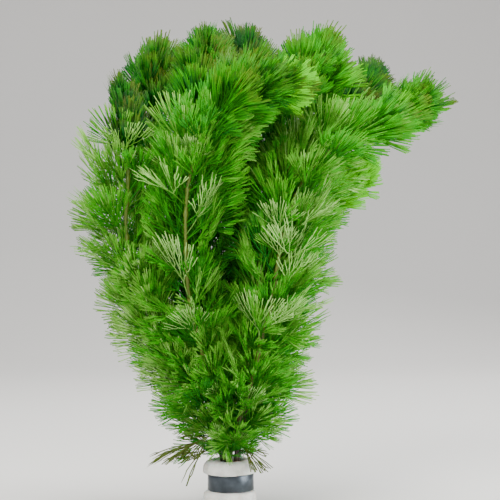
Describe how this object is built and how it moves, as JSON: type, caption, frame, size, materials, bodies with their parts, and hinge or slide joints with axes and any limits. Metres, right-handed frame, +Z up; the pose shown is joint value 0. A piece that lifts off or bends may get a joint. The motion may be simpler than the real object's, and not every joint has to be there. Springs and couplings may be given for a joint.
{
  "type": "aquarium plant bunch",
  "caption": "Cabomba bunch: stems of feathery fan leaves with bushy crowns, held in a white foam sleeve by a soft metal weight strip, standing on the foam.",
  "frame": {"origin": "middle of the flat underside of the foam foot, where the bunch stands", "axes": "+Z up along the foot and the stems, -Y towards the viewer, +X to the viewer's right"},
  "size_m": [0.1844, 0.1222, 0.2505],
  "materials": {
    "foam": "soft white foam, matt",
    "strip": "dull grey metal",
    "stem": "smooth olive stem",
    "leaf": "soft green leaf",
    "crown": "young bright leaf"
  },
  "bodies": {
    "root": {"foam_sleeve": "foam", "weight_strip": "strip", "stem_front_right": "stem", "crown_front_right": "crown", "whorl_front_right_1": "leaf", "whorl_front_right_2": "leaf", "whorl_front_right_3": "leaf", "whorl_front_right_4": "leaf", "whorl_front_right_5": "leaf", "whorl_front_right_6": "leaf", "stem_front_left": "stem", "crown_front_left": "crown", "whorl_front_left_1": "leaf", "whorl_front_left_2": "leaf", "whorl_front_left_3": "leaf", "whorl_front_left_4": "leaf", "whorl_front_left_5": "leaf", "stem_left": "stem", "crown_left": "crown", "whorl_left_1": "leaf", "whorl_left_2": "leaf", "whorl_left_3": "leaf", "whorl_left_4": "leaf", "whorl_left_5": "leaf", "stem_right": "stem", "crown_right": "crown", "whorl_right_1": "leaf", "whorl_right_2": "leaf", "whorl_right_3": "leaf", "whorl_right_4": "leaf", "stem_left_back": "stem", "crown_left_back": "crown", "whorl_left_back_1": "leaf", "whorl_left_back_2": "leaf", "whorl_left_back_3": "leaf", "whorl_left_back_4": "leaf", "stem_right_back": "stem", "crown_right_back": "crown", "whorl_right_back_1": "leaf", "whorl_right_back_2": "leaf", "whorl_right_back_3": "leaf", "whorl_right_back_4": "leaf", "stem_back": "stem", "crown_back": "crown", "whorl_back_1": "leaf", "whorl_back_2": "leaf", "whorl_back_3": "leaf", "whorl_back_4": "leaf", "stem_low_back": "stem", "crown_low_back": "crown", "whorl_low_back_1": "leaf", "whorl_low_back_2": "leaf", "whorl_low_back_3": "leaf", "whorl_low_back_4": "leaf", "stem_middle": "stem", "crown_middle": "crown", "whorl_middle_1": "leaf", "whorl_middle_2": "leaf", "whorl_middle_3": "leaf", "whorl_middle_4": "leaf"}
  },
  "joints": []
}
